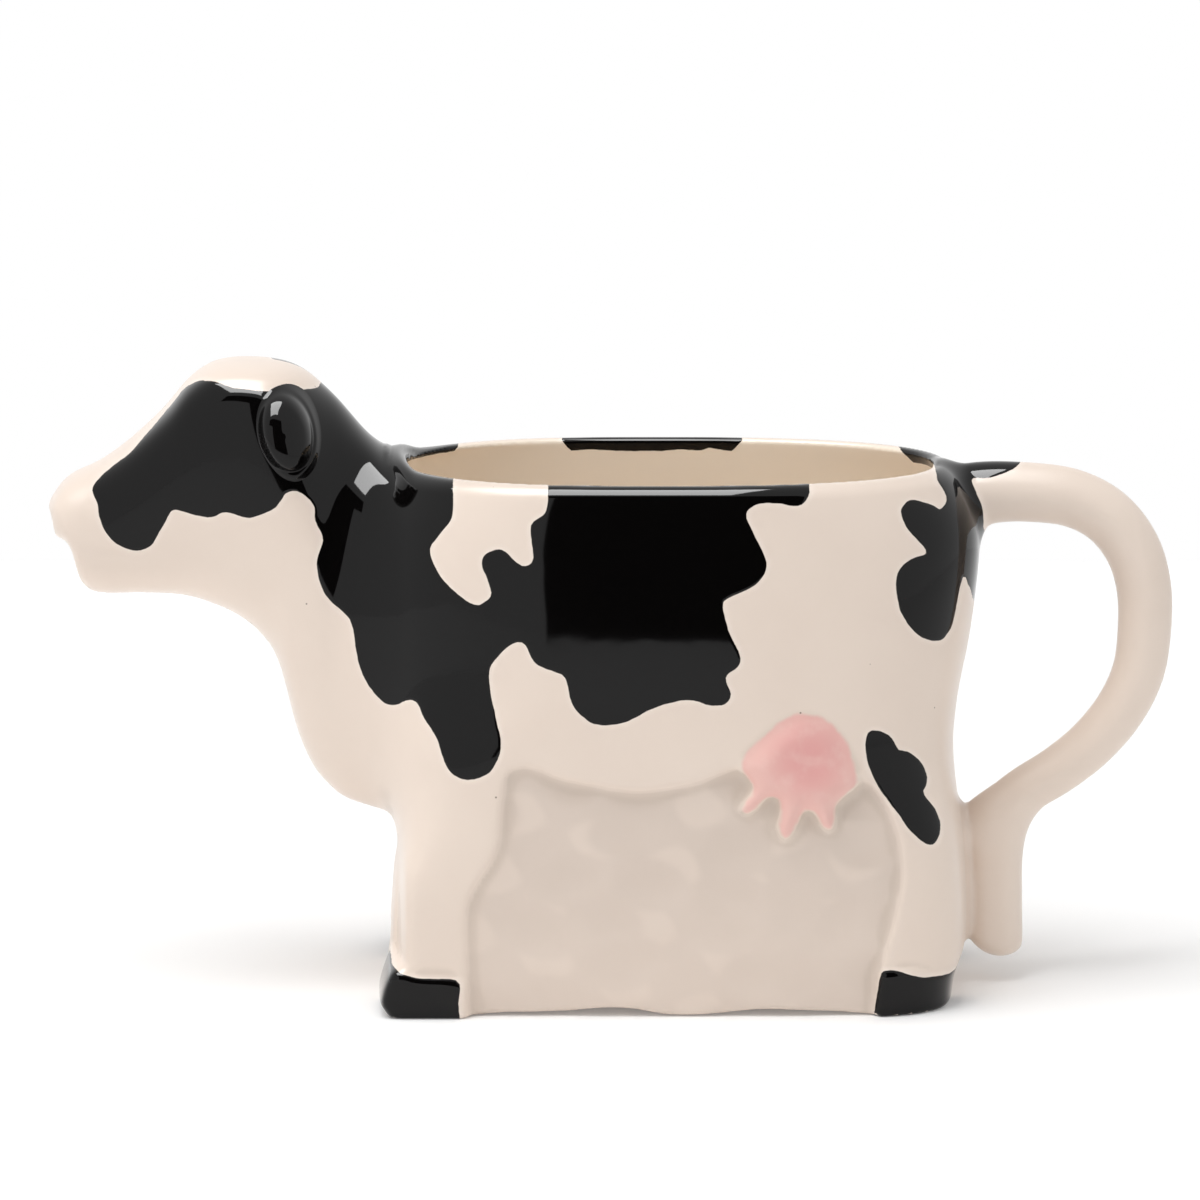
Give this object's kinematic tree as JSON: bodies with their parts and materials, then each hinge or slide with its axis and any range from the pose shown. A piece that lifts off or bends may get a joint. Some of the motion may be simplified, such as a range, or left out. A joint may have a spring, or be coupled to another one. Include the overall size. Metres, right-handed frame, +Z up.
{
  "type": "cow creamer",
  "caption": "Glazed ceramic milk jug in the form of a standing cow: an open oval vessel with the hollow head as pouring spout and the tail looped into a handle.",
  "frame": {"origin": "middle of the bounding box at the level of the table, under the belly", "axes": "+X from head to tail, +Z up, +Y to the cow's right flank"},
  "size_m": [0.2017, 0.0714, 0.1141],
  "materials": {
    "white_glaze": "gloss",
    "black_glaze": "gloss",
    "pink_glaze": "gloss"
  },
  "bodies": {
    "root": {"body_vessel": "white_glaze", "head_spout": "white_glaze", "left_ear": "black_glaze", "right_ear": "black_glaze", "tail_handle": "white_glaze", "tail_tuft": "white_glaze", "left_udder": "pink_glaze", "right_udder": "pink_glaze"}
  },
  "joints": []
}
